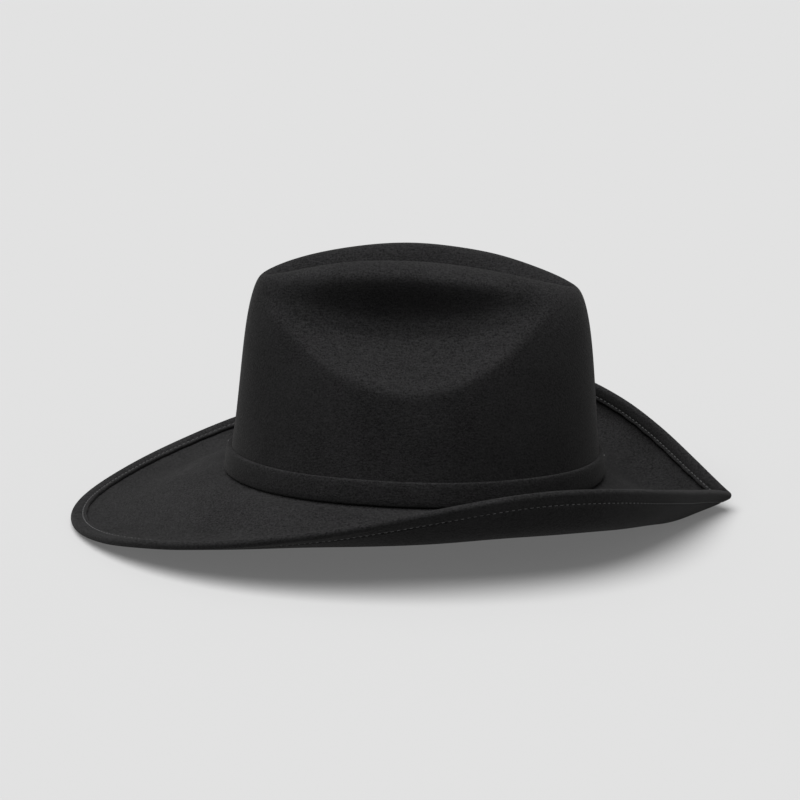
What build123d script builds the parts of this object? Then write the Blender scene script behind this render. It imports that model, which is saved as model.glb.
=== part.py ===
from build123d import *
import os
from math import cos, exp, hypot, pi, radians, sin

import numpy as np

# A felt western hat, standing on its brim on a table.
# +X points to the front of the hat, +Y to the wearer's left, +Z is up, and Z = 0 is the table.
# X = 0 is halfway between the front and back tips of the brim, and Y = 0 is the plane that the hat
# is the same on both sides of.  Angles round the hat run from 0 at the front to 180 at the back.

# ---- driving dimensions, in millimetres and degrees ----------------------------------------------

FELT = 2.3                      # thickness of the wool felt
GAP = 0.1                       # clear space between two pieces that lie on each other

# where the crown meets the brim: the outside of the felt, an oval that suits a 58 cm head
CROWN_CENTRE = 7.5
CROWN_HALF_LENGTH = 104.0
CROWN_HALF_WIDTH = 87.0
BREAK_HEIGHT = (23.0, 29.0, 28.5)               # at the front, the side and the back

# the brim's outer edge
BRIM_HALF_LENGTH = 184.5
BRIM_HALF_WIDTH = 151.5
FRONT_PINCH = (0.90, 6)                         # how much the front narrows to a snout, and how late
BACK_PINCH = (0.13, 4)
EDGE_HEIGHT = (10.5, 26.5, 51.5, 44.5, 24.5, 8.5, 2.5)       # every 30 degrees, front to back
START_SLOPE = (-20.5, 0.0, 0.0)                 # of the brim as it leaves the crown
END_SLOPE = (27.0, 87.0, 58.0, 9.0, -5.0)       # of the brim at its edge, every 45 degrees
BRIM_FOOT = 0.0015                              # the brim starts this far out, to clear the crown
BUTT_STATION = 0.1
START_PULL = 0.36                               # how far each slope holds, as a share of the width
END_PULL = 0.59

# the overwelt: the edge of the brim folded up and over onto its own top side
WELT_WIDTH = 9.0
WELT_STITCH_INSET = 2.0                         # from the raw edge of the flap to the stitches
THREAD_RADIUS = 0.35
SNOUT_ANGLE = 4.0                               # where the two ends of the flap meet at the front

# the crown above the break
CROWN_FOOT = -0.01                              # the crown runs on below the break, through the brim
RIDGE_TOP = (-4.0, 150.0)                       # the highest point of the two ridges, X and Z
RIDGE_FALL = (0.0025, 0.0020)                   # how fast they drop behind and ahead of it, per mm squared
RIDGE_CENTRE = 11.0
RIDGE_HALF_LENGTH = 86.0
RIDGE_HALF_SPACING = 22.0
RIDGE_SPREAD = 0.3                              # how much fuller than an oval their ends are
CREASE_DEPTH = 17.0                             # of the valley between the ridges
CREASE_RUN = 0.93                               # how much of the ridges' length it takes
CREASE_FADE = 1.04                              # it would run out this far beyond their ends
RIDGE_STATION = 0.7                             # where the ridge is on a line from the break up and over
WALL_RISE = 0.52
WALL_LEAN = (0.30, 0.30, 0.47)                  # front, side, back
SHOULDER_REACH = (0.34, 0.36, 0.62)             # smaller is a squarer shoulder
SHOULDER_RISE = (0.95, 1.0, 0.97)

# the dent in each side of the crown
DENT_CENTRE = 4.0
DENT_HALF_LENGTH = 82.0
DENT_TAPER = 1.7                                # how fast it gets shallower towards its ends
DENT_DEPTH = 26.0
DENT_FLOOR = 86.0                               # height of its lowest point
DENT_FLOOR_RISE = 42.0                          # how much higher its lower edge is at its ends
DENT_SHELF = 0.42                               # share of its height that its lower side takes
DENT_BROW = 0.52                                # share of its height that its upper side takes
DENT_BROW_ROUND = 1.5                           # higher is a rounder edge above the brow
DENT_SOFTNESS = (0.50, 0.20)                    # of its lower edge, at the back and at the front
DENT_FADE = 14.0                                # how near the middle plane it fades out

# the ribbon of the same felt round the crown
BAND_HEIGHT = 13.0
BAND_THICKNESS = 2.3
BAND_LIFT = 1.0                                 # its lower edge above the break
BAND_TAB_LENGTH = 22.0                          # where one end laps over the other
BAND_JOIN_ANGLE = 108.0
BAND_TACKS = (-6.0, 60.0, 126.0, 174.0)         # where the few stitches that hold the band are
TACK_LENGTH = 2.4
TACK_DROP = 1.5                                 # below the top edge of the band

# inside the crown: a leather sweatband with a springy reed sewn into its lower edge
SWEATBAND_HEIGHT = 33.0
SWEATBAND_THICKNESS = 1.0
REED_RADIUS = 1.2
REED_RISE = 0.4                                 # of the middle of the reed above the break
REED_STITCH_RISE = 2.2                          # of the row of stitches above the reed
LEATHER_OUT = -FELT - GAP
LEATHER_IN = LEATHER_OUT - SWEATBAND_THICKNESS
LEATHER_LOW = REED_RISE + REED_RADIUS + GAP
SEAM_HALF_WIDTH = 1.6                           # of the zigzag that closes the leather at the back
SEAM_TURNS = 12
BOW_LOOP = (8.0, 1.3)                           # length and half depth of each loop of the bow
RIBBON = (3.0, 0.5)                             # width and thickness of its ribbon
BOW_RISE = 11.0
BOW_TAIL_SLANT = 35.0
LABEL = (26.0, 12.0, 0.4)                       # length, height and thickness of the blank size label
LABEL_RISE = 14.0
LABEL_ANGLE = 152.0

SECTIONS = 35                                   # places round half of the hat where a sheet is drawn
ON_MIDDLE = 0.01                                # what is this close to Y = 0 is on the middle plane


# ---- shared shapes --------------------------------------------------------------------------------

def around(values, angle):
    """A smooth value at an angle, through values given at equal steps from the front to the back."""
    count = len(values)
    steps = np.linspace(0, pi, count)
    waves = np.arange(count)
    weights = np.linalg.solve(np.cos(np.outer(steps, waves)), np.array(values, float))
    return float(np.cos(waves * angle) @ weights)


def ease(value):
    """0 to 1 with a level start and end."""
    value = min(max(value, 0.0), 1.0)
    return value**3 * (value * (6 * value - 15) + 10)


def bezier(a, b, c, d, t):
    s = 1 - t
    return s**3 * a + 3 * s * s * t * b + 3 * s * t * t * c + t**3 * d


def break_point(angle):
    """The outside of the felt where the crown meets the brim."""
    return np.array([CROWN_CENTRE + CROWN_HALF_LENGTH * cos(angle),
                     CROWN_HALF_WIDTH * sin(angle),
                     around(BREAK_HEIGHT, angle)])


def edge_point(angle):
    """The rim of the brim, on the upper side of its lower layer."""
    ahead = max(cos(angle), 0.0)
    behind = max(-cos(angle), 0.0)
    narrow = 1 - FRONT_PINCH[0] * ahead**FRONT_PINCH[1]
    narrow *= 1 - BACK_PINCH[0] * behind**BACK_PINCH[1]
    return np.array([BRIM_HALF_LENGTH * cos(angle),
                     BRIM_HALF_WIDTH * sin(angle) * narrow,
                     around(EDGE_HEIGHT, angle)])


def brim_point(angle, t):
    """The upper side of the brim: t is 0 at the crown and 1 at the rim."""
    start = break_point(angle)
    end = edge_point(angle)
    run = hypot(end[0] - start[0], end[1] - start[1])
    outward = np.array([end[0] - start[0], end[1] - start[1], 0.0]) / run
    up = np.array([0.0, 0.0, 1.0])
    first = radians(around(START_SLOPE, angle))
    last = radians(around(END_SLOPE, angle))
    near = start + START_PULL * run * (cos(first) * outward + sin(first) * up)
    far = end - END_PULL * run * (cos(last) * outward + sin(last) * up)
    return bezier(start, near, far, end, t)


def brim_station(angle, inset):
    """The t of the brim at a distance in from its rim."""
    rim = brim_point(angle, 1.0)
    low, high = 0.5, 1.0
    for _ in range(40):
        middle = (low + high) / 2
        if np.linalg.norm(brim_point(angle, middle) - rim) > inset:
            low = middle
        else:
            high = middle
    return middle


def ridge_height(x):
    fall = RIDGE_FALL[1] if x > RIDGE_TOP[0] else RIDGE_FALL[0]
    return RIDGE_TOP[1] - fall * (x - RIDGE_TOP[0])**2


def dented(point):
    """Push a point of the crown's side in towards the middle: a shelf below and a brow above it."""
    x, y, z = point
    along = (x - DENT_CENTRE) / DENT_HALF_LENGTH
    if abs(along) >= 1:
        return point
    floor = DENT_FLOOR + DENT_FLOOR_RISE * along * along
    up = (z - floor) / (ridge_height(x) - floor)
    back, front = DENT_SOFTNESS
    soft = back + (front - back) * ease(along + 0.5)
    shelf = min(max(up / DENT_SHELF, 0.0), 1.0)
    shelf = sin(pi / 2 * (hypot(shelf, soft) - soft) / (hypot(1.0, soft) - soft))
    brow = sin(pi / 2 * min(max((1 - up) / DENT_BROW, 0.0), 1.0))**DENT_BROW_ROUND
    push = DENT_DEPTH * (1 - along * along)**DENT_TAPER * shelf * brow
    return np.array([x, y - push * (1 - exp(-(y / DENT_FADE)**2)), z])


def crown_point(angle, t):
    """The outside of the crown: t is 0 at the break, RIDGE_STATION on the ridge and 1 at Y = 0.

    Below 0 it goes straight down, and CROWN_FOOT is level with the underside of the brim.
    """
    if t < 0:
        return break_point(angle) - np.array([0.0, 0.0, FELT * t / CROWN_FOOT])
    ridge_x = RIDGE_CENTRE + RIDGE_HALF_LENGTH * cos(angle)
    ridge_y = RIDGE_HALF_SPACING * sin(angle) * (1 + RIDGE_SPREAD * cos(angle)**2)
    if t <= RIDGE_STATION:
        low = break_point(angle)
        w = t / RIDGE_STATION
        inward = bezier(0.0, around(WALL_LEAN, angle), around(SHOULDER_REACH, angle), 1.0, w)
        upward = bezier(0.0, WALL_RISE, around(SHOULDER_RISE, angle), 1.0, w)
        return dented(np.array([low[0] + (ridge_x - low[0]) * inward,
                                low[1] + (ridge_y - low[1]) * inward,
                                low[2] + (ridge_height(ridge_x) - low[2]) * upward]))
    w = (t - RIDGE_STATION) / (1 - RIDGE_STATION)
    crease_x = RIDGE_CENTRE + RIDGE_HALF_LENGTH * CREASE_RUN * (1 - 2 * abs(angle) / pi)
    x = ridge_x + (crease_x - ridge_x) * w
    y = ridge_y * (1 - w)
    valley = CREASE_DEPTH * (1 - ((x - RIDGE_CENTRE) / (CREASE_FADE * RIDGE_HALF_LENGTH))**2)
    return np.array([x, y, ridge_height(x) - valley * (1 - (1 - w)**2)**2])


def crown_station(angle, rise):
    """The t of the crown's wall at a height above the break."""
    low, high = -0.05, RIDGE_STATION
    target = break_point(angle)[2] + rise
    for _ in range(40):
        middle = (low + high) / 2
        if crown_point(angle, middle)[2] < target:
            low = middle
        else:
            high = middle
    return middle


def normal_at(shape, angle, t):
    """The unit normal of a shape(angle, t), on its upper or outer side."""
    step = 1e-3
    inside = min(t, 1 - 5 * step) if shape is crown_point else t
    across = shape(angle + step, inside) - shape(angle - step, inside)
    along = shape(angle, inside + step) - shape(angle, inside - step)
    normal = np.cross(along, across) if shape is brim_point else np.cross(across, along)
    if shape(angle, t)[1] < ON_MIDDLE:
        normal[1] = 0.0
    return normal / np.linalg.norm(normal)


def lifted(shape, angle, t, distance):
    """A point at a distance outside a shape, or inside it where the distance is negative."""
    return shape(angle, t) + distance * normal_at(shape, angle, t)


def wall_point(angle, rise, distance):
    """A point at a height on the crown's wall and a distance outside it."""
    return lifted(crown_point, angle, crown_station(angle, rise), distance)


# ---- making solids --------------------------------------------------------------------------------

def flattened(points):
    """Move points that are nearly on one plane onto it."""
    middle = np.mean(points, axis=0)
    normal = np.linalg.svd(points - middle)[2][2]
    return points - np.outer((points - middle) @ normal, normal)


def strip_section(angle, place, first, last, steps, inner, outer, at_end):
    """One closed section of a sheet: place(angle, t, distance) from t = first to t = last."""
    stations = np.linspace(first, last, steps)
    points = [place(angle, t, outer) for t in stations]
    points += [place(angle, t, inner) for t in reversed(stations)]
    if at_end:
        points = flattened(np.array(points))
    points = [Vector(*p) for p in points]
    top, bottom = points[:steps], points[steps:]
    return Wire([Edge.make_spline(top),
                 Edge.make_line(top[-1], bottom[0]),
                 Edge.make_spline(bottom),
                 Edge.make_line(bottom[-1], top[0])])


def strip(place, first, last, steps, inner, outer, start=0, end=180, sections=SECTIONS):
    """A sheet of felt or leather, drawn section by section between two angles, with flat ends."""
    wires = []
    for number in range(sections):
        angle = radians(start + (end - start) * number / (sections - 1))
        at_end = number in (0, sections - 1)
        wires.append(strip_section(angle, place, first, last, steps, inner, outer, at_end))
    return Solid.make_loft(wires)


def both_sides(half):
    """Mirror a left half and close the two into one solid, without the faces on the middle plane."""
    faces = [face for face in half.faces() if face.center().Y > ON_MIDDLE]
    faces += [mirror(face, about=Plane.XZ) for face in faces]
    return Solid(Shell(faces))


def thread(points, radius):
    """A six-sided thread through points."""
    path = Edge.make_spline([Vector(*p) for p in points])
    start = Plane(origin=path @ 0, z_dir=path % 0)
    return sweep(start * RegularPolygon(radius, 6), path=path)


def stitch(a, b, radius):
    """A straight length of thread between two points."""
    a = Vector(*a)
    b = Vector(*b)
    return Plane(origin=(a + b) / 2, z_dir=b - a) * Cylinder(radius, (b - a).length)


# ---- the felt body, one piece of felt cut here where the crown meets the brim ----------------------

def felt_crown():
    """The crown, down to the underside of the brim so that the brim butts against it.

    It is drawn in two halves that meet face to face on the middle plane.
    """
    def place(angle, t, distance):
        return lifted(crown_point, angle, t, distance)
    half = strip(place, CROWN_FOOT, 1.0, 25, -FELT, 0.0)
    return Compound([half, mirror(half, about=Plane.XZ)])


def felt_brim():
    """The brim, with an upright inner face that butts against the foot of the crown."""
    def place(angle, t, distance):
        normal = normal_at(brim_point, angle, t)
        upright = max(1 - t / BUTT_STATION, 0.0)
        direction = (1 - upright) * normal + upright * np.array([0.0, 0.0, 1 / normal[2]])
        return brim_point(angle, t) + distance * direction
    return both_sides(strip(place, BRIM_FOOT, 1.0, 9, -FELT, 0.0))


# ---- the overwelt and its two rows of thread --------------------------------------------------------

def overwelt_point(angle, inset, distance):
    return lifted(brim_point, angle, brim_station(angle, inset), distance)


def brim_overwelt():
    """The folded edge, from its raw inner edge out to the rim; its two ends meet at the snout."""
    half = strip(overwelt_point, WELT_WIDTH, 0.0, 5, GAP, GAP + FELT, start=SNOUT_ANGLE)
    return both_sides(half)


def overwelt_stitching():
    """A row of stitches through the flap and the brim, seen on top and underneath."""
    inset = WELT_WIDTH - WELT_STITCH_INSET
    rows = []
    for distance in (GAP + FELT + THREAD_RADIUS, -FELT - THREAD_RADIUS):
        angles = np.linspace(radians(SNOUT_ANGLE + 1), radians(179.7), 61)
        rows.append(thread([overwelt_point(a, inset, distance) for a in angles], THREAD_RADIUS))
    half = Compound(rows)
    return Compound([half, mirror(half, about=Plane.XZ)])


# ---- the band --------------------------------------------------------------------------------------

def hat_band():
    half = strip(wall_point, BAND_LIFT, BAND_LIFT + BAND_HEIGHT, 5, GAP, GAP + BAND_THICKNESS)
    return both_sides(half)


def hat_band_lap():
    """The free end of the band, lapped over its other end on the wearer's left."""
    half_turn = np.degrees(BAND_TAB_LENGTH / 2 / CROWN_HALF_WIDTH)
    under = 2 * GAP + BAND_THICKNESS
    return strip(wall_point, BAND_LIFT, BAND_LIFT + BAND_HEIGHT, 5, under, under + BAND_THICKNESS,
                 start=BAND_JOIN_ANGLE - half_turn, end=BAND_JOIN_ANGLE + half_turn, sections=7)


def hat_band_tack_stitches():
    """Single stitches near the top edge of the band; a negative angle is on the wearer's right."""
    tacks = []
    rise = BAND_LIFT + BAND_HEIGHT - TACK_DROP
    reach = TACK_LENGTH / 2 / CROWN_HALF_LENGTH
    for angle in BAND_TACKS:
        ends = [wall_point(radians(abs(angle)) + turn, rise, GAP + BAND_THICKNESS + THREAD_RADIUS)
                for turn in (-reach, reach)]
        tack = stitch(*ends, THREAD_RADIUS)
        tacks.append(mirror(tack, about=Plane.XZ) if angle < 0 else tack)
    return Compound(tacks)


# ---- the sweatband inside ---------------------------------------------------------------------------

def sweatband():
    half = strip(wall_point, LEATHER_LOW, LEATHER_LOW + SWEATBAND_HEIGHT, 7, LEATHER_IN, LEATHER_OUT)
    return both_sides(half)


def ring_of_thread(rise, distance, radius):
    """A thread round the inside of the crown, in two halves that meet at the front and the back."""
    half = thread([wall_point(a, rise, distance) for a in np.linspace(0, pi, 41)], radius)
    return Compound([half, mirror(half, about=Plane.XZ)])


def sweatband_reed():
    return ring_of_thread(REED_RISE, LEATHER_OUT - REED_RADIUS, REED_RADIUS)


def sweatband_stitching():
    return ring_of_thread(LEATHER_LOW + REED_STITCH_RISE, LEATHER_IN - THREAD_RADIUS, THREAD_RADIUS)


def sweatband_seam():
    """The zigzag that joins the two ends of the leather at the back."""
    low = LEATHER_LOW + 2 * REED_STITCH_RISE
    high = LEATHER_LOW + SWEATBAND_HEIGHT - REED_STITCH_RISE
    points = []
    for turn in range(2 * SEAM_TURNS + 1):
        rise = low + (high - low) * turn / (2 * SEAM_TURNS)
        point = wall_point(pi, rise, LEATHER_IN - GAP - THREAD_RADIUS)
        point[1] = SEAM_HALF_WIDTH * (-1)**turn
        points.append(point)
    seam = stitch(points[0], points[1], THREAD_RADIUS)
    for a, b in zip(points[1:-1], points[2:]):
        seam += stitch(a, b, THREAD_RADIUS)
    return seam


def sweatband_bow():
    """A small flat bow of ribbon at the back, over the seam."""
    width, thick = RIBBON
    half_long, half_deep = BOW_LOOP
    face = wall_point(pi, LEATHER_LOW + BOW_RISE, LEATHER_IN - 2 * THREAD_RADIUS - 3 * GAP)
    middle = Vector(face[0] + half_deep, 0, face[2])
    loop = Ellipse(half_deep, half_long / 2) - Ellipse(half_deep - thick, half_long / 2 - thick)
    bow = Pos(*middle) * Box(2 * half_deep, width * 0.8, width * 1.2)
    for side in (-1, 1):
        place = Pos(middle.X, side * (half_long / 2 + thick), middle.Z - width / 2)
        bow += place * extrude(loop, width)
        tail = Pos(face[0] + thick / 2, side * width, face[2] - width) * Rot(side * BOW_TAIL_SLANT, 0, 0)
        bow += tail * Box(thick, width, 3 * width)
    return bow


def size_label():
    """A small blank woven label on the leather, at the back on the wearer's left."""
    length, height, thick = LABEL
    half_turn = np.degrees(length / 2 / CROWN_HALF_WIDTH)
    outer = LEATHER_IN - GAP
    return strip(wall_point, LABEL_RISE, LABEL_RISE + height, 4, outer - thick, outer,
                 start=LABEL_ANGLE - half_turn, end=LABEL_ANGLE + half_turn, sections=7)


PIECES = (felt_crown, felt_brim, brim_overwelt, overwelt_stitching,
          hat_band, hat_band_lap, hat_band_tack_stitches,
          sweatband, sweatband_reed, sweatband_stitching, sweatband_seam, sweatband_bow, size_label)

os.makedirs("parts", exist_ok=True)
for piece in PIECES:
    export_step(piece(), f"parts/{piece.__name__}.step")
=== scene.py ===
from math import cos, pi, radians, sin

import bmesh
import bpy
import numpy as np
from mathutils import Matrix, Vector


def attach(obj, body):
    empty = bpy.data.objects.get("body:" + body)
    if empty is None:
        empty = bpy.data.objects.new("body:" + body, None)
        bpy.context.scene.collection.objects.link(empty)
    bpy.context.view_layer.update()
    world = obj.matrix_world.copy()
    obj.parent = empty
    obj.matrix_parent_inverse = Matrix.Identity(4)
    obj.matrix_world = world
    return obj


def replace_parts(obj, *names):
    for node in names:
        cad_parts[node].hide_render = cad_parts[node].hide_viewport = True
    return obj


# A black wool-felt western hat on a pale table.
# +X points to the front of the hat, +Y to the wearer's left, +Z is up, and Z = 0 is the table.
# Lengths are in millimetres until a mesh is made; the table, the camera and the scales and bumps of
# the materials are in metres.  Angles go round the hat from 0 at the front, through 90 on the left.

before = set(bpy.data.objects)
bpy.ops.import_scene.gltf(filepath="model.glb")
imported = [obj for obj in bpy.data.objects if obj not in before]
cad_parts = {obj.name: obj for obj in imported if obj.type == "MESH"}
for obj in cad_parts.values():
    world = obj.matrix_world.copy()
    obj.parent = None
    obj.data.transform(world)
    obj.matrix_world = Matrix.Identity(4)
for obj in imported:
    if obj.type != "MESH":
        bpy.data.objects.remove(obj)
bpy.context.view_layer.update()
MM = 0.001

# ---- driving dimensions, the same as the CAD model's ---------------------------------------------

FELT = 2.3                      # thickness of the wool felt
GAP = 0.1                       # clear space between two pieces that lie on each other

# where the crown meets the brim, on the outside of the felt
CROWN_CENTRE = 7.5
CROWN_HALF_LENGTH = 104.0
CROWN_HALF_WIDTH = 87.0
BREAK_HEIGHT = (23.0, 29.0, 28.5)

# the brim: its edge every 30 degrees, and its slopes from the front to the back
BRIM_HALF_LENGTH = 184.5
BRIM_HALF_WIDTH = 151.5
FRONT_PINCH = (0.90, 6)
BACK_PINCH = (0.13, 4)
EDGE_HEIGHT = (10.5, 26.5, 51.5, 44.5, 24.5, 8.5, 2.5)
START_SLOPE = (-20.5, 0.0, 0.0)
END_SLOPE = (27.0, 87.0, 58.0, 9.0, -5.0)
START_PULL = 0.36
END_PULL = 0.59
WELT_WIDTH = 9.0
WELT_STITCH_INSET = 2.0

# the crown above the break, with two ridges and a crease between them
RIDGE_TOP = (-4.0, 150.0)       # X and Z of the highest point
RIDGE_FALL = (0.0025, 0.0020)   # behind and ahead of it, per mm squared
RIDGE_CENTRE = 11.0
RIDGE_HALF_LENGTH = 86.0
RIDGE_HALF_SPACING = 22.0
RIDGE_SPREAD = 0.3
CREASE_DEPTH = 17.0
CREASE_RUN = 0.93
CREASE_FADE = 1.04
RIDGE_STATION = 0.7
WALL_RISE = 0.52
WALL_LEAN = (0.30, 0.30, 0.47)
SHOULDER_REACH = (0.34, 0.36, 0.62)
SHOULDER_RISE = (0.95, 1.0, 0.97)

# the dent in each side of the crown
DENT_CENTRE = 4.0
DENT_HALF_LENGTH = 82.0
DENT_TAPER = 1.7
DENT_DEPTH = 26.0
DENT_FLOOR = 86.0
DENT_FLOOR_RISE = 42.0
DENT_SHELF = 0.42               # share of its height that its lower side takes
DENT_BROW = 0.52                # share of its height that its upper side takes
DENT_BROW_ROUND = 1.5
DENT_SOFTNESS = (0.50, 0.20)    # of its lower edge, at the back and at the front
DENT_FADE = 14.0

# the band
BAND_HEIGHT = 13.0
BAND_THICKNESS = 2.3
BAND_LIFT = 1.0
BAND_TAB_LENGTH = 22.0
BAND_JOIN_ANGLE = 108.0
BAND_TACKS = (-6.0, 60.0, 126.0, 174.0)
TACK_LENGTH = 2.4
TACK_DROP = 1.5

# the sweatband and what is on it
SWEATBAND_HEIGHT = 33.0
SWEATBAND_THICKNESS = 1.0
REED_RADIUS = 1.2
REED_RISE = 0.4
REED_STITCH_RISE = 2.2
LEATHER_OUT = -FELT - GAP
LEATHER_IN = LEATHER_OUT - SWEATBAND_THICKNESS
LEATHER_LOW = REED_RISE + REED_RADIUS + GAP
SEAM_HALF_WIDTH = 1.6
SEAM_TURNS = 12
BOW_LOOP = (8.0, 1.3)
RIBBON = (3.0, 0.5)
BOW_RISE = 11.0
LABEL = (26.0, 12.0, 0.4)
LABEL_RISE = 14.0
LABEL_ANGLE = 152.0

# ---- how finely the look is drawn ----------------------------------------------------------------

ROUND = 360                     # columns round the hat
ALL_ROUND = np.arange(ROUND) * 2 * pi / ROUND

# The felt runs in rows from the middle of the crease, over a ridge, down the wall, through the bend
# at the break and out over the brim to the fold, where the rows close up at the stitched groove.
TOP_ROWS = np.linspace(1.0, RIDGE_STATION, 24)
WALL_ROWS = np.linspace(RIDGE_STATION, 0.019, 60)[1:]
BEND_ROWS = np.linspace(0, 1, 9)[1:-1]
BRIM_ROWS = np.linspace(0.045, 0.86, 30)
EDGE_INSETS = (13.0, 11.0, 9.4, 8.4, 7.8, 7.4, 7.2, 7.0, 6.8, 6.6, 6.2, 5.4, 4.4, 3.3, FELT)
GROOVE_DEPTH = 0.4
GROOVE_WIDTH = 0.5

# The waves in pressed felt: how fast each turns along X, Y and Z per mm, its phase and its height.
WAVES = ((0.031, 0.022, 0.027, 0.4, 0.40), (-0.024, 0.041, 0.033, 1.9, 0.32),
         (0.052, -0.047, 0.021, 4.1, 0.20), (0.083, 0.071, -0.064, 2.6, 0.12),
         (-0.117, 0.096, 0.088, 5.3, 0.08))

# The section of the folded edge: inset from the rim, height over the brim's lower layer, and how much
# of the pleats and of the raw edge's raggedness each point takes.
UNDERSIDE = 0.05                # height of the flap's underside over the brim's lower layer
FOLD_PROFILE = ((9.0, UNDERSIDE, 0.0, 1.0), (9.12, 0.5, 0.0, 1.0), (9.1, 1.2, 0.0, 1.0),
                (8.95, 1.75, 0.0, 1.0), (8.6, 2.05, 0.0, 0.7), (8.0, 2.05, 0.2, 0.3),
                (7.5, 1.85, 0.1, 0.0), (7.0, 1.70, 0.1, 0.0), (6.5, 1.90, 0.5, 0.0),
                (5.8, 2.2, 1.0, 0.0), (4.8, 2.38, 1.0, 0.0), (3.6, 2.38, 0.6, 0.0), (FELT, FELT, 0.0, 0.0))
FOLD_UNDER = (4.5, 6.7)         # insets of the points on the underside of the flap
FOLD_STEPS = 13                 # round the fold at the rim

# The section of the band: rise above its lower edge and height off the felt.
BAND_PROFILE = ((0.6, 0.0), (0.0, 0.5), (0.0, 1.4), (0.25, 2.0), (0.9, 2.3), (3.5, 2.45), (6.5, 2.5),
                (9.5, 2.45), (12.0, 2.3), (12.75, 1.95), (13.0, 1.35), (12.95, 0.5), (12.4, 0.0), (6.5, 0.0))

# Stitches: length, pitch and radius of the thread.
EDGE_STITCH = (2.4, 3.3, 0.3)
REED_STITCH = (2.2, 3.0, 0.28)
STITCH_SLANT = 0.035
STITCH_VARIES = (0.93, 1.05)
STITCHES_ABOVE = 1.85           # over the top of the brim's lower layer, in the trough of the flap
STITCHES_BELOW = FELT - 0.45    # under it, in the groove on the underside
TACK_RADIUS = 0.4
SEAM_RADIUS = 0.26
STITCH_SEED = 7

# Painted shade and light: how bright the felt's colour is painted on the walls and where it faces up, as a
# share of its colour, as the overhead light would fall.
WALL_PAINTED_SHADE = 0.50
TOP_PAINTED_LIGHT = 1.10


# ---- the shape of the felt -----------------------------------------------------------------------

def around(values, angle):
    """Smooth values at angles, through values given at equal steps from the front to the back."""
    count = len(values)
    steps = np.linspace(0, pi, count)
    waves = np.arange(count)
    weights = np.linalg.solve(np.cos(np.outer(steps, waves)), np.array(values, float))
    return np.cos(np.multiply.outer(angle, waves)) @ weights


def ease(value):
    value = np.clip(value, 0.0, 1.0)
    return value**3 * (value * (6 * value - 15) + 10)


def bezier(a, b, c, d, t):
    s = 1 - t
    return s**3 * a + 3 * s * s * t * b + 3 * s * t * t * c + t**3 * d


def join(x, y, z):
    return np.stack(np.broadcast_arrays(x, y, z), axis=-1)


def wobble(point):
    """The small unevenness of pressed felt, up to about a millimetre."""
    total = 0.0
    for x, y, z, phase, size in WAVES:
        total = total + size * np.sin(x * point[..., 0] + y * point[..., 1] + z * point[..., 2] + phase)
    return total


def break_point(angle):
    return join(CROWN_CENTRE + CROWN_HALF_LENGTH * np.cos(angle),
                CROWN_HALF_WIDTH * np.sin(angle),
                around(BREAK_HEIGHT, angle))


def edge_point(angle):
    ahead = np.maximum(np.cos(angle), 0.0)
    behind = np.maximum(-np.cos(angle), 0.0)
    narrow = 1 - FRONT_PINCH[0] * ahead**FRONT_PINCH[1]
    narrow = narrow * (1 - BACK_PINCH[0] * behind**BACK_PINCH[1])
    return join(BRIM_HALF_LENGTH * np.cos(angle),
                BRIM_HALF_WIDTH * np.sin(angle) * narrow,
                around(EDGE_HEIGHT, angle))


def brim_point(angle, t):
    """The upper side of the brim's lower layer: t is 0 at the crown and 1 at the rim."""
    angle, t = np.broadcast_arrays(np.asarray(angle, float), np.asarray(t, float))
    t = t[..., None]
    start = break_point(angle)
    end = edge_point(angle)
    flat = (end - start) * [1, 1, 0]
    run = np.linalg.norm(flat, axis=-1, keepdims=True)
    outward = flat / run
    up = np.array([0.0, 0.0, 1.0])
    first = np.radians(around(START_SLOPE, angle))[..., None]
    last = np.radians(around(END_SLOPE, angle))[..., None]
    near = start + START_PULL * run * (np.cos(first) * outward + np.sin(first) * up)
    far = end - END_PULL * run * (np.cos(last) * outward + np.sin(last) * up)
    point = bezier(start, near, far, end, t)
    return point + up * (wobble(point) * ease(t[..., 0] / 0.4) * (1 - 0.5 * t[..., 0]))[..., None]


def ridge_height(x):
    fall = np.where(x > RIDGE_TOP[0], RIDGE_FALL[1], RIDGE_FALL[0])
    return RIDGE_TOP[1] - fall * (x - RIDGE_TOP[0])**2


def dent(x, z):
    """How far the side of the crown is pushed in: a shelf below and a brow above it."""
    along = np.clip((x - DENT_CENTRE) / DENT_HALF_LENGTH, -1, 1)
    floor = DENT_FLOOR + DENT_FLOOR_RISE * along * along
    up = (z - floor) / (ridge_height(x) - floor)
    back, front = DENT_SOFTNESS
    soft = back + (front - back) * ease(along + 0.5)
    shelf = np.clip(up / DENT_SHELF, 0, 1)
    shelf = np.sin(pi / 2 * (np.hypot(shelf, soft) - soft) / (np.hypot(1, soft) - soft))
    brow = np.sin(pi / 2 * np.clip((1 - up) / DENT_BROW, 0, 1))**DENT_BROW_ROUND
    return DENT_DEPTH * (1 - along * along)**DENT_TAPER * shelf * brow


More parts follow.
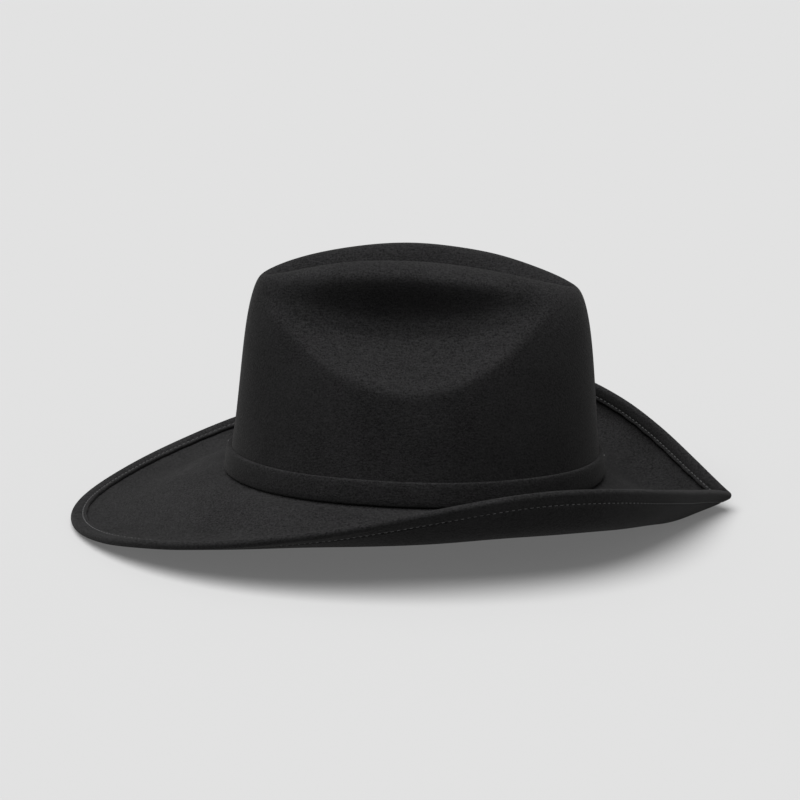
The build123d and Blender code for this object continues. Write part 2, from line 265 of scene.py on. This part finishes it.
def crown_point(angle, t):
    """The outside of the crown: t is 0 at the break, RIDGE_STATION on the ridge and 1 at Y = 0."""
    angle, t = np.broadcast_arrays(np.asarray(angle, float), np.asarray(t, float))
    turned = np.abs((angle + pi) % (2 * pi) - pi)
    ridge_x = RIDGE_CENTRE + RIDGE_HALF_LENGTH * np.cos(angle)
    ridge_y = RIDGE_HALF_SPACING * np.sin(angle) * (1 + RIDGE_SPREAD * np.cos(angle)**2)
    low = break_point(angle)
    w = t / RIDGE_STATION
    inward = bezier(0.0, around(WALL_LEAN, angle), around(SHOULDER_REACH, angle), 1.0, w)
    upward = bezier(0.0, WALL_RISE, around(SHOULDER_RISE, angle), 1.0, w)
    x = low[..., 0] + (ridge_x - low[..., 0]) * inward
    y = low[..., 1] + (ridge_y - low[..., 1]) * inward
    z = low[..., 2] + (ridge_height(ridge_x) - low[..., 2]) * upward
    wall = join(x, y - np.sign(y) * dent(x, z) * (1 - np.exp(-(y / DENT_FADE)**2)), z)
    w = (t - RIDGE_STATION) / (1 - RIDGE_STATION)
    crease_x = RIDGE_CENTRE + RIDGE_HALF_LENGTH * CREASE_RUN * (1 - 2 * turned / pi)
    x = ridge_x + (crease_x - ridge_x) * w
    valley = CREASE_DEPTH * (1 - ((x - RIDGE_CENTRE) / (CREASE_FADE * RIDGE_HALF_LENGTH))**2)
    top = join(x, ridge_y * (1 - w), ridge_height(x) - valley * (1 - (1 - w)**2)**2)
    point = np.where((t <= RIDGE_STATION)[..., None], wall, top)
    # the waves push out on the walls and up on the top, and fade at the break and in the crease
    upright = ease((t - 0.3) / 0.5)[..., None]
    out = join(np.cos(angle), np.sin(angle), 0.0) * (1 - upright) + np.array([0, 0, 1.0]) * upright
    return point + out * (wobble(point) * ease(t / 0.2) * ease((1 - t) / 0.2))[..., None]


def unit(vector):
    return vector / np.maximum(np.linalg.norm(vector, axis=-1, keepdims=True), 1e-9)


def normal_at(shape, angle, t):
    """The unit normal of a shape, on its upper or outer side."""
    step = 1e-3
    inside = np.minimum(t, 1 - 5 * step) if shape is crown_point else t
    across = shape(angle + step, inside) - shape(angle - step, inside)
    along = shape(angle, inside + step) - shape(angle, inside - step)
    if shape is brim_point:
        across = -across
    return unit(np.cross(across, along))


def lifted(shape, angle, t, distance):
    distance = np.asarray(distance, float)[..., None]
    return shape(angle, t) + distance * normal_at(shape, angle, t)


def search(measure, low, high):
    """Where a rising measure is nought, for arrays."""
    for _ in range(30):
        middle = (low + high) / 2
        under = measure(middle) < 0
        low = np.where(under, middle, low)
        high = np.where(under, high, middle)
    return middle


def wall_point(angle, rise, distance):
    """A point at a height on the crown's wall and a distance outside it."""
    angle, rise = np.broadcast_arrays(np.asarray(angle, float), np.asarray(rise, float))
    target = break_point(angle)[..., 2] + rise
    low = np.full(angle.shape, -0.05)
    high = np.full(angle.shape, RIDGE_STATION)
    t = search(lambda s: crown_point(angle, s)[..., 2] - target, low, high)
    return lifted(crown_point, angle, t, distance)


def rim_station(angle, inset):
    """The t of the brim at a distance in from its rim."""
    angle, inset = np.broadcast_arrays(np.asarray(angle, float), np.asarray(inset, float))
    rim = brim_point(angle, 1.0)
    low = np.full(angle.shape, 0.5)
    high = np.ones(angle.shape)
    return search(lambda s: inset - np.linalg.norm(brim_point(angle, s) - rim, axis=-1), low, high)


def welt_point(angle, inset, distance):
    """A point near the rim, at a distance in from it and a height over the brim's lower layer."""
    return lifted(brim_point, angle, rim_station(angle, inset), distance)


# ---- meshes --------------------------------------------------------------------------------------

def make_piece(name, points, faces, material, slot, sharp=40.0):
    mesh = bpy.data.meshes.new(name)
    mesh.from_pydata((np.asarray(points) * MM).tolist(), [], faces)
    mesh.validate()
    mesh.polygons.foreach_set("use_smooth", [True] * len(mesh.polygons))
    mesh.set_sharp_from_angle(angle=radians(sharp))
    mesh.materials.append(material)
    piece = bpy.data.objects.new(name, mesh)
    bpy.context.scene.collection.objects.link(piece)
    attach(piece, "root")
    return piece


def grid_faces(columns, rows, wrap_columns=True, wrap_rows=True, start=0):
    """Quads over a grid of columns by rows, seen from outside when rows turn right-handed."""
    faces = []
    for i in range(columns if wrap_columns else columns - 1):
        a = start + i * rows
        b = start + (i + 1) % columns * rows
        for j in range(rows if wrap_rows else rows - 1):
            k = (j + 1) % rows
            faces.append((a + j, b + j, b + k, a + k))
    return faces


def gathered(parts):
    """One list of points and one of faces, from several parts."""
    points, faces = [], []
    for more_points, more_faces in parts:
        faces += [tuple(k + len(points) for k in face) for face in more_faces]
        points += list(more_points)
    return points, faces


def ring_piece(name, sections, material, slot, **options):
    """A closed loop of closed sections: an array of columns by rows by 3."""
    columns, rows = sections.shape[:2]
    return make_piece(name, sections.reshape(-1, 3), grid_faces(columns, rows), material, slot, **options)


def bar_points(sections):
    """An open run of closed sections with an end cap at each end."""
    columns, rows = sections.shape[:2]
    faces = grid_faces(columns, rows, wrap_columns=False)
    faces.append(tuple(range(rows))[::-1])
    faces.append(tuple((columns - 1) * rows + j for j in range(rows)))
    return sections.reshape(-1, 3), faces


# ---- materials -----------------------------------------------------------------------------------

def nodes_of(material):
    material.use_nodes = True
    tree = material.node_tree
    return tree.nodes, tree.links, tree.nodes["Principled BSDF"]


def noise_node(nodes, links, coords, scale, detail=4.0, roughness=0.55, stretch=None):
    """A noise texture in metres; stretch squeezes the coordinates to draw the grains out."""
    source = coords
    if stretch:
        mapping = nodes.new("ShaderNodeMapping")
        mapping.inputs["Rotation"].default_value = stretch[:3]
        mapping.inputs["Scale"].default_value = stretch[3:]
        links.new(coords, mapping.inputs["Vector"])
        source = mapping.outputs["Vector"]
    noise = nodes.new("ShaderNodeTexNoise")
    noise.inputs["Scale"].default_value = scale
    noise.inputs["Detail"].default_value = detail
    noise.inputs["Roughness"].default_value = roughness
    links.new(source, noise.inputs["Vector"])
    return noise.outputs["Fac"]


def ramp_node(nodes, links, value, stops):
    ramp = nodes.new("ShaderNodeValToRGB")
    elements = ramp.color_ramp.elements
    while len(elements) < len(stops):
        elements.new(0.5)
    for element, (place, colour) in zip(elements, stops):
        element.position = place
        element.color = (*colour, 1.0)
    links.new(value, ramp.inputs["Fac"])
    return ramp.outputs["Color"]


def math_node(nodes, links, operation, a, b):
    node = nodes.new("ShaderNodeMath")
    node.operation = operation
    for socket, value in zip(node.inputs, (a, b)):
        if isinstance(value, (int, float)):
            socket.default_value = value
        else:
            links.new(value, socket)
    return node.outputs["Value"]


def bump_node(nodes, links, height, distance, strength, below=None):
    bump = nodes.new("ShaderNodeBump")
    bump.inputs["Strength"].default_value = strength
    bump.inputs["Distance"].default_value = distance
    links.new(height, bump.inputs["Height"])
    if below is not None:
        links.new(below, bump.inputs["Normal"])
    return bump.outputs["Normal"]


def felt_material(name, dark, light):
    """Wool felt: a short matted nap with fibres lying all ways, soft mottling and a dull bloom."""
    material = bpy.data.materials.new(name)
    nodes, links, shader = nodes_of(material)
    coords = nodes.new("ShaderNodeTexCoord").outputs["Object"]
    mottle = noise_node(nodes, links, coords, 38.0, 4.0, 0.55)
    grain = noise_node(nodes, links, coords, 1000.0, 3.0, 0.6)
    hairs_a = noise_node(nodes, links, coords, 1150.0, 2.0, 0.5, (0.4, 0.9, 0.3, 0.25, 1.0, 1.0))
    hairs_b = noise_node(nodes, links, coords, 1150.0, 2.0, 0.5, (1.2, -0.5, 1.9, 1.0, 0.25, 1.0))
    hairs = math_node(nodes, links, "MAXIMUM", hairs_a, hairs_b)
    nap = math_node(nodes, links, "MULTIPLY", math_node(nodes, links, "ADD", grain, hairs), 0.5)
    tone = math_node(nodes, links, "ADD", math_node(nodes, links, "MULTIPLY", mottle, 0.14),
                     math_node(nodes, links, "MULTIPLY", nap, 0.86))
    middle = tuple((a + b) / 2 for a, b in zip(dark, light))
    colour = ramp_node(nodes, links, tone, ((0.42, dark), (0.53, middle), (0.66, light)))
    # painted light: the felt colour is darkened on the walls and brightened where it faces up
    links.new(painted_top_light(nodes, links, colour), shader.inputs["Base Color"])
    coarse = bump_node(nodes, links, mottle, 0.0006, 0.2)
    links.new(bump_node(nodes, links, nap, 0.0006, 1.0, coarse), shader.inputs["Normal"])
    shader.inputs["Roughness"].default_value = 0.95
    shader.inputs["Specular IOR Level"].default_value = 0.12
    shader.inputs["Sheen Weight"].default_value = 0.05
    shader.inputs["Sheen Roughness"].default_value = 0.45
    shader.inputs["Sheen Tint"].default_value = (0.80, 0.79, 0.78, 1.0)
    return material


def painted_top_light(nodes, links, colour):
    """Painted light and shade: the colour darkened on the walls and brightened where the felt faces up, as
    light from above would fall.
    """
    parts = nodes.new("ShaderNodeSeparateXYZ")
    links.new(nodes.new("ShaderNodeNewGeometry").outputs["Normal"], parts.inputs["Vector"])
    share = nodes.new("ShaderNodeMapRange")
    share.inputs["From Min"].default_value = 0.0
    share.inputs["From Max"].default_value = 0.7
    share.inputs["To Min"].default_value = WALL_PAINTED_SHADE
    share.inputs["To Max"].default_value = TOP_PAINTED_LIGHT
    links.new(parts.outputs["Z"], share.inputs["Value"])
    mix = nodes.new("ShaderNodeVectorMath")
    mix.operation = "SCALE"
    links.new(colour, mix.inputs[0])
    links.new(share.outputs["Result"], mix.inputs["Scale"])
    return mix.outputs["Vector"]


def thread_material(name, dark, light):
    material = bpy.data.materials.new(name)
    nodes, links, shader = nodes_of(material)
    coords = nodes.new("ShaderNodeTexCoord").outputs["Object"]
    twist = noise_node(nodes, links, coords, 2600.0, 2.0, 0.5, (0.3, 0.8, 0.5, 0.4, 1.0, 1.0))
    links.new(ramp_node(nodes, links, twist, ((0.35, dark), (0.65, light))), shader.inputs["Base Color"])
    links.new(bump_node(nodes, links, twist, 0.0002, 0.6), shader.inputs["Normal"])
    shader.inputs["Roughness"].default_value = 0.7
    shader.inputs["Sheen Weight"].default_value = 0.3
    return material


def leather_material(name, dark, light):
    """Thin sweatband leather: fine pebbled grain with a low sheen."""
    material = bpy.data.materials.new(name)
    nodes, links, shader = nodes_of(material)
    coords = nodes.new("ShaderNodeTexCoord").outputs["Object"]
    cells = nodes.new("ShaderNodeTexVoronoi")
    cells.feature = "DISTANCE_TO_EDGE"
    cells.inputs["Scale"].default_value = 1400.0
    links.new(coords, cells.inputs["Vector"])
    pebbles = ramp_node(nodes, links, cells.outputs["Distance"], ((0.0, (0, 0, 0)), (0.25, (1, 1, 1))))
    mottle = noise_node(nodes, links, coords, 90.0, 5.0, 0.6)
    links.new(ramp_node(nodes, links, mottle, ((0.35, dark), (0.7, light))), shader.inputs["Base Color"])
    rough = ramp_node(nodes, links, mottle, ((0.3, (0.45,) * 3), (0.7, (0.62,) * 3)))
    links.new(rough, shader.inputs["Roughness"])
    links.new(bump_node(nodes, links, pebbles, 0.00008, 0.5), shader.inputs["Normal"])
    return material


def woven_material(name, dark, light, threads):
    """A plain weave: fine ribs crossed by fine ribs."""
    material = bpy.data.materials.new(name)
    nodes, links, shader = nodes_of(material)
    coords = nodes.new("ShaderNodeTexCoord").outputs["Object"]
    waves = []
    for direction in ("X", "Y", "Z"):
        wave = nodes.new("ShaderNodeTexWave")
        wave.bands_direction = direction
        wave.inputs["Scale"].default_value = threads
        wave.inputs["Distortion"].default_value = 0.4
        links.new(coords, wave.inputs["Vector"])
        waves.append(wave.outputs["Fac"])
    weave = math_node(nodes, links, "MULTIPLY", math_node(nodes, links, "MAXIMUM", *waves[:2]), waves[2])
    links.new(ramp_node(nodes, links, weave, ((0.0, dark), (0.8, light))), shader.inputs["Base Color"])
    links.new(bump_node(nodes, links, weave, 0.00015, 0.6), shader.inputs["Normal"])
    shader.inputs["Roughness"].default_value = 0.75
    shader.inputs["Sheen Weight"].default_value = 0.2
    return material


FELT_LOOK = felt_material("wool_felt", (0.0032, 0.0031, 0.0033), (0.0185, 0.0182, 0.0187))
THREAD_LOOK = thread_material("black_thread", (0.007, 0.007, 0.0075), (0.026, 0.026, 0.027))
LEATHER_LOOK = leather_material("sweatband_leather", (0.022, 0.018, 0.016), (0.045, 0.038, 0.033))
TAPE_LOOK = woven_material("reed_tape", (0.010, 0.010, 0.011), (0.05, 0.05, 0.053), 700.0)
RIBBON_LOOK = woven_material("bow_ribbon", (0.008, 0.008, 0.009), (0.04, 0.04, 0.043), 1100.0)
LABEL_LOOK = woven_material("label_cloth", (0.38, 0.37, 0.34), (0.62, 0.60, 0.56), 900.0)


# ---- the felt body: one skin from the crease over the crown and out to the fold ------------------

def felt_outer():
    """The upper and outer side of the felt, from the crease down to the break and out to the fold."""
    angle = ALL_ROUND[:, None]
    crown = crown_point(angle, np.concatenate([TOP_ROWS, WALL_ROWS])[None, :])
    brim = brim_point(angle, BRIM_ROWS[None, :])
    corner = break_point(ALL_ROUND)[:, None, :]
    bend = BEND_ROWS[None, :, None]
    above = crown[:, -1:, :]
    beside = brim[:, :1, :]
    fillet = (1 - bend)**2 * above + 2 * bend * (1 - bend) * corner + bend**2 * beside
    edge = brim_point(angle, rim_station(angle, np.array(EDGE_INSETS)[None, :]))
    return np.concatenate([crown, fillet, brim, edge], axis=1)


def grid_normals(grid):
    """Unit normals of a grid that closes round its columns, pointing up or out."""
    across = np.roll(grid, -1, axis=0) - np.roll(grid, 1, axis=0)
    outward = np.gradient(grid, axis=1)
    normals = np.cross(outward, across)
    normals[:, 0] = normals[:, 1] * [1, 0, 1]
    return unit(normals)


def felt_body():
    """The crown and brim as one piece of felt, with its inner side a thickness away."""
    outer = felt_outer()
    normals = grid_normals(outer)
    normals[:, -1] = normal_at(brim_point, ALL_ROUND, rim_station(ALL_ROUND, FELT))
    thickness = np.full(outer.shape[1], FELT)
    stitches = WELT_WIDTH - WELT_STITCH_INSET
    groove = np.exp(-((np.array(EDGE_INSETS) - stitches) / GROOVE_WIDTH)**2)
    thickness[-len(EDGE_INSETS):] -= GROOVE_DEPTH * groove
    inner = outer - thickness[None, :, None] * normals
    columns, rows = outer.shape[:2]
    count = columns * rows
    points = np.concatenate([outer.reshape(-1, 3), inner.reshape(-1, 3)])
    faces = [f[::-1] for f in grid_faces(columns, rows, wrap_rows=False)]
    faces += grid_faces(columns, rows, wrap_rows=False, start=count)
    for i in range(columns):
        a = i * rows + rows - 1
        b = (i + 1) % columns * rows + rows - 1
        faces.append((a, b, count + b, count + a))
    piece = make_piece("felt_body", points, faces, FELT_LOOK, "black_felt", sharp=60.0)
    weld_crease(piece)
    return piece


def weld_crease(piece):
    """Join the two sides of the crown along the middle of the crease."""
    mesh = bmesh.new()
    mesh.from_mesh(piece.data)
    bmesh.ops.remove_doubles(mesh, verts=mesh.verts, dist=0.02 * MM)
    bmesh.ops.recalc_face_normals(mesh, faces=mesh.faces)
    mesh.to_mesh(piece.data)
    mesh.free()
    piece.data.polygons.foreach_set("use_smooth", [True] * len(piece.data.polygons))
    piece.data.set_sharp_from_angle(angle=radians(60.0))


# ---- the overwelt --------------------------------------------------------------------------------

def arc_lengths(points):
    """How far it is round a closed path to each of its points, and at last the whole way round."""
    steps = np.linalg.norm(np.roll(points, -1, axis=0) - points, axis=1)
    return np.concatenate([[0.0], np.cumsum(steps)])


def folded_edge():
    """The folded edge: raw inner edge, stitched-down trough, soft pillow and the round fold."""
    run = arc_lengths(brim_point(ALL_ROUND, 1.0))[:-1]
    behind = np.maximum(-np.cos(ALL_ROUND), 0.0)
    pleats = np.sin(run * 2 * pi / 7.3 + 1.7 * np.sin(run * 2 * pi / 61.0))
    pleats = pleats * (0.06 + 0.16 * behind**2)
    ragged = 0.16 * np.sin(run * 2 * pi / 17.0 + 1.0) + 0.1 * np.sin(run * 2 * pi / 5.3)
    rows = [welt_point(ALL_ROUND, inset + raw * ragged, height + soft * pleats)
            for inset, height, soft, raw in FOLD_PROFILE]
    centre = rim_station(ALL_ROUND, FELT)
    base = brim_point(ALL_ROUND, centre)
    up = normal_at(brim_point, ALL_ROUND, centre)
    step = 1e-3
    out = unit(brim_point(ALL_ROUND, centre + step) - brim_point(ALL_ROUND, centre - step))
    for turn in np.linspace(pi / 2, -pi / 2, FOLD_STEPS)[1:]:
        rows.append(base + FELT * (np.cos(turn) * out + np.sin(turn) * up))
    rows.append(base + UNDERSIDE * up)
    rows += [welt_point(ALL_ROUND, inset, UNDERSIDE) for inset in FOLD_UNDER]
    sections = np.stack(rows, axis=1)
    return ring_piece("folded_edge", sections[:, ::-1], FELT_LOOK, "black_felt", sharp=60.0)


# ---- thread --------------------------------------------------------------------------------------

def stitch_mesh(middle, along, up, length, radius):
    """One stitch: a short arch of thread that dives into the cloth at each end."""
    side = np.cross(along, up)
    points = []
    for place in np.linspace(-1, 1, 7):
        girth = radius * (1 - 0.55 * place**4)
        centre = middle + along * (place * length / 2) - up * (radius * 1.3 * place**4)
        for turn in np.arange(6) * pi / 3:
            points.append(centre + girth * (cos(turn) * side + sin(turn) * up))
    return np.array(points).reshape(7, 6, 3)


def stitch_row(path, ups, length, pitch, radius):
    """Stitches laid end to end round a closed path, each a little out of line."""
    following = np.roll(path, -1, axis=0)
    starts = arc_lengths(path)
    chance = np.random.default_rng(STITCH_SEED)
    stitches = []
    for number in range(int(starts[-1] // pitch)):
        place = (number + 0.5) * pitch
        i = int(np.searchsorted(starts, place, side="right")) - 1
        along = unit(following[i] - path[i])
        up = unit(ups[i] - along * (ups[i] @ along))
        slant = np.cross(along, up) * chance.normal(0, STITCH_SLANT)
        middle = path[i] + along * (place - starts[i])
        reach = length * chance.uniform(*STITCH_VARIES)
        stitches.append(bar_points(stitch_mesh(middle, unit(along + slant), up, reach, radius)))
    return gathered(stitches)


def edge_stitches():
    """The stitches that hold the folded edge, above and below the brim."""
    fine = np.arange(4 * ROUND) * 2 * pi / (4 * ROUND)
    t = rim_station(fine, WELT_WIDTH - WELT_STITCH_INSET)
    ups = normal_at(brim_point, fine, t)
    base = brim_point(fine, t)
    above = stitch_row(base + STITCHES_ABOVE * ups, ups, *EDGE_STITCH)
    below = stitch_row(base - STITCHES_BELOW * ups, -ups, *EDGE_STITCH)
    return make_piece("edge_stitches", *gathered([above, below]), THREAD_LOOK, "black_thread", sharp=80.0)


# ---- the hat band --------------------------------------------------------------------------------

def band_section(angle, lift):
    """A closed section of the band at angles, with a thickness lift off the felt."""
    wave = 0.25 * np.sin(2 * angle + 0.7) + 0.12 * np.sin(7 * angle + 2.0)
    rows = [wall_point(angle, BAND_LIFT + rise + wave, GAP + lift + height) for rise, height in BAND_PROFILE]
    return np.stack(rows, axis=1)


def band():
    sections = band_section(ALL_ROUND, 0.0)
    return ring_piece("band", sections[:, ::-1], FELT_LOOK, "black_felt", sharp=60.0)


def band_lap():
    """The free end of the band, lying over its other end and thinning to a soft cut edge."""
    half_turn = BAND_TAB_LENGTH / 2 / CROWN_HALF_WIDTH
    angle = radians(BAND_JOIN_ANGLE) + np.linspace(-half_turn, half_turn, 25)
    edge = np.clip((half_turn - np.abs(angle - radians(BAND_JOIN_ANGLE))) / 0.012, 0, 1)
    lift = BAND_THICKNESS * (0.72 + 0.28 * np.sqrt(edge))
    points, faces = bar_points(band_section(angle, lift)[:, ::-1])
    return make_piece("band_lap", points, faces, FELT_LOOK, "black_felt", sharp=50.0)


def band_tacks():
    """Single stitches near the top edge of the band; a negative angle is on the wearer's right."""
    rise = BAND_LIFT + BAND_HEIGHT - TACK_DROP
    tacks = []
    for angle in np.radians(BAND_TACKS):
        middle = wall_point(angle, rise, GAP + BAND_THICKNESS + 0.2)
        along = unit(wall_point(angle + 0.01, rise, 2.0) - wall_point(angle - 0.01, rise, 2.0))
        up = normal_at(crown_point, np.float64(angle), np.float64(0.08))
        tacks.append(bar_points(stitch_mesh(middle, along, up, TACK_LENGTH, TACK_RADIUS)))
    return make_piece("band_tacks", *gathered(tacks), THREAD_LOOK, "black_thread", sharp=80.0)


# ---- the sweatband and what is on it -------------------------------------------------------------

def leather_strip():
    """A strip of leather with a turned lower edge; its top edge waves very slightly off the felt."""
    rows = []
    for rise in np.linspace(LEATHER_LOW, LEATHER_LOW + SWEATBAND_HEIGHT, 14):
        up = (rise - LEATHER_LOW) / SWEATBAND_HEIGHT
        wave = -0.35 * up**2 * (1 + np.sin(5 * ALL_ROUND + 1.0) * 0.6 + np.sin(11 * ALL_ROUND) * 0.3)
        rows.append(wall_point(ALL_ROUND, rise, LEATHER_OUT + wave))
    outer = np.stack(rows, axis=1)
    middle = np.array([CROWN_CENTRE, 0, 0])
    inner = outer + SWEATBAND_THICKNESS * unit((middle - outer) * [1, 1, 0])
    rim = (outer[:, -1:] + inner[:, -1:]) / 2 + [0, 0, 0.3]
    foot = (outer[:, :1] + inner[:, :1]) / 2 - [0, 0, 0.1]
    sections = np.concatenate([outer, rim, inner[:, ::-1], foot], axis=1)
    return ring_piece("leather_strip", sections, LEATHER_LOOK, "sweatband_leather", sharp=60.0)


def taped_reed():
    """A round springy reed in cloth tape, along the lower edge of the leather."""
    rows = [wall_point(ALL_ROUND, REED_RISE + REED_RADIUS * sin(turn),
                       LEATHER_OUT - REED_RADIUS - REED_RADIUS * cos(turn))
            for turn in np.arange(12) * pi / 6]
    return ring_piece("taped_reed", np.stack(rows, axis=1), TAPE_LOOK, "reed_cloth", sharp=80.0)


def reed_stitches():
    path = wall_point(ALL_ROUND, LEATHER_LOW + REED_STITCH_RISE, LEATHER_IN - 0.1)
    ups = -normal_at(crown_point, ALL_ROUND, np.full(ROUND, 0.02))
    points, faces = stitch_row(path, ups, *REED_STITCH)
    return make_piece("reed_stitches", points, faces, THREAD_LOOK, "black_thread", sharp=80.0)


def leather_seam():
    """The zigzag over the ends of the leather at the back."""
    low = LEATHER_LOW + 2 * REED_STITCH_RISE
    high = LEATHER_LOW + SWEATBAND_HEIGHT - REED_STITCH_RISE
    ends = []
    for turn in range(2 * SEAM_TURNS + 1):
        point = wall_point(pi, low + (high - low) * turn / (2 * SEAM_TURNS), LEATHER_IN - 0.25)
        point[1] = SEAM_HALF_WIDTH * (-1)**turn
        ends.append(point)
    inward = np.array([1.0, 0.0, 0.0])
    stitches = [bar_points(stitch_mesh((a + b) / 2, unit(b - a), inward, np.linalg.norm(b - a), SEAM_RADIUS))
                for a, b in zip(ends[:-1], ends[1:])]
    return make_piece("leather_seam", *gathered(stitches), THREAD_LOOK, "black_thread", sharp=80.0)


def ribbon_mesh(path, width, thick):
    """A flat ribbon along a path in the XY plane, standing on its edge."""
    path = np.asarray(path, float)
    along = unit(np.gradient(path, axis=0))
    side = np.cross(along, [0, 0, 1.0])
    up = np.array([0, 0, width / 2])
    rows = [path + s * side * thick / 2 + u * up for s, u in ((-1, -1), (1, -1), (1, 1), (-1, 1))]
    return bar_points(np.stack(rows, axis=1))


def ribbon_bow():
    """Two loops, a knot and two tails of narrow ribbon over the seam."""
    width, thick = RIBBON
    half_long, half_deep = BOW_LOOP
    face = wall_point(pi, LEATHER_LOW + BOW_RISE, LEATHER_IN - 0.9)
    middle = np.array([face[0] + half_deep, 0.0, face[2]])
    ribbons = []
    for side in (-1, 1):
        turn = np.linspace(-pi, pi, 33)
        loop = join(middle[0] + half_deep * 0.85 * np.sin(turn) * (0.55 + 0.45 * np.cos(turn / 2)**2),
                    side * (0.6 + half_long / 2 * (1 + np.cos(turn))),
                    middle[2] + 0.5 * (1 + np.cos(turn)))
        ribbons.append(ribbon_mesh(loop, width * 0.92, thick))
        drop = np.linspace(0, 1, 9)
        tail = join(face[0] + 0.6 + 0.5 * np.sin(drop * pi),
                    side * (0.8 + 3.2 * drop),
                    middle[2] - 1.0 - 6.0 * drop)
        ribbons.append(ribbon_mesh(tail, width * 0.8, thick))
    turn = np.linspace(0, 2 * pi, 17)
    knot = join(middle[0] + 1.25 * np.cos(turn), 1.3 * np.sin(turn), middle[2])
    ribbons.append(ribbon_mesh(knot, width * 1.15, thick))
    return make_piece("ribbon_bow", *gathered(ribbons), RIBBON_LOOK, "bow_ribbon", sharp=50.0)


def blank_label():
    """A blank woven label on the leather."""
    length, height, thick = LABEL
    half_turn = length / 2 / CROWN_HALF_WIDTH
    angle = radians(LABEL_ANGLE) + np.linspace(-half_turn, half_turn, 27)
    outer = LEATHER_IN - GAP - 0.35
    rises = np.linspace(0, height, 9)
    rows = [wall_point(angle, LABEL_RISE + rise, outer - thick) for rise in rises]
    rows += [wall_point(angle, LABEL_RISE + rise, outer) for rise in reversed(rises)]
    points, faces = bar_points(np.stack(rows, axis=1))
    return make_piece("blank_label", points, faces, LABEL_LOOK, "label_cloth", sharp=50.0)


# ---- the hat -------------------------------------------------------------------------------------

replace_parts(felt_body(), "felt_crown", "felt_brim")
TRIM = ((folded_edge, "brim_overwelt"), (edge_stitches, "overwelt_stitching"),
        (band, "hat_band"), (band_lap, "hat_band_lap"), (band_tacks, "hat_band_tack_stitches"),
        (leather_strip, "sweatband"), (taped_reed, "sweatband_reed"),
        (reed_stitches, "sweatband_stitching"), (leather_seam, "sweatband_seam"),
        (ribbon_bow, "sweatband_bow"), (blank_label, "size_label"))
for build, node in TRIM:
    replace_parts(build(), node)


# ---- table, light and camera ---------------------------------------------------------------------

PALE = (0.38, 0.38, 0.38)
GLOW = 0.125
FLOOR_SIZE = 12.0
WORLD_STRENGTH = 0.24
SUN_STRENGTH = 4.75
SUN_SPREAD = 60.0
SUN_TILT = (16.0, -10.0, 0.0)
CAMERA_ELEVATION = 14.64
CAMERA_TURN = 0.124
CAMERA_ROLL = 0.513
CAMERA_DISTANCE = 1.6
CAMERA_LENS = 129.9
CAMERA_TARGET = (-0.0002, 0.0, 0.0663)


def table():
    """A plain pale table that glows a little, so that its tone is even right across the picture."""
    mesh = bpy.data.meshes.new("table")
    half = FLOOR_SIZE / 2
    corners = [(-half, -half, 0), (half, -half, 0), (half, half, 0), (-half, half, 0)]
    mesh.from_pydata(corners, [], [(0, 1, 2, 3)])
    material = bpy.data.materials.new("pale_table")
    nodes, links, shader = nodes_of(material)
    shader.inputs["Base Color"].default_value = (*PALE, 1.0)
    shader.inputs["Roughness"].default_value = 0.9
    shader.inputs["Specular IOR Level"].default_value = 0.0
    shader.inputs["Emission Color"].default_value = (1.0, 1.0, 1.0, 1.0)
    shader.inputs["Emission Strength"].default_value = GLOW
    mesh.materials.append(material)
    floor = bpy.data.objects.new("table", mesh)
    bpy.context.scene.collection.objects.link(floor)


def lights():
    """A large soft light, nearly overhead, and a little light from all round."""
    world = bpy.data.worlds.new("studio")
    bpy.context.scene.world = world
    world.use_nodes = True
    background = world.node_tree.nodes["Background"]
    background.inputs["Color"].default_value = (1.0, 1.0, 1.0, 1.0)
    background.inputs["Strength"].default_value = WORLD_STRENGTH
    sun = bpy.data.lights.new("key", "SUN")
    sun.energy = SUN_STRENGTH
    sun.angle = radians(SUN_SPREAD)
    lamp = bpy.data.objects.new("key", sun)
    lamp.rotation_euler = [radians(angle) for angle in SUN_TILT]
    bpy.context.scene.collection.objects.link(lamp)


def camera():
    """A long lens, from the hat's right side and a little above."""
    rise, turn, roll = (radians(a) for a in (CAMERA_ELEVATION, CAMERA_TURN, CAMERA_ROLL))
    back = Vector((-sin(turn) * cos(rise), -cos(turn) * cos(rise), sin(rise)))
    level = Vector((cos(turn), -sin(turn), 0.0))
    raised = back.cross(level)
    right = level * cos(roll) - raised * sin(roll)
    up = level * sin(roll) + raised * cos(roll)
    place = Vector(CAMERA_TARGET) + back * CAMERA_DISTANCE
    data = bpy.data.cameras.new("camera")
    data.sensor_width = 36.0
    data.lens = CAMERA_LENS
    data.clip_end = 50.0
    eye = bpy.data.objects.new("camera", data)
    eye.matrix_world = Matrix((
        (right.x, up.x, back.x, place.x),
        (right.y, up.y, back.y, place.y),
        (right.z, up.z, back.z, place.z),
        (0, 0, 0, 1)))
    bpy.context.scene.collection.objects.link(eye)
    bpy.context.scene.camera = eye


table()
lights()
camera()
bpy.context.scene.view_settings.view_transform = "Standard"
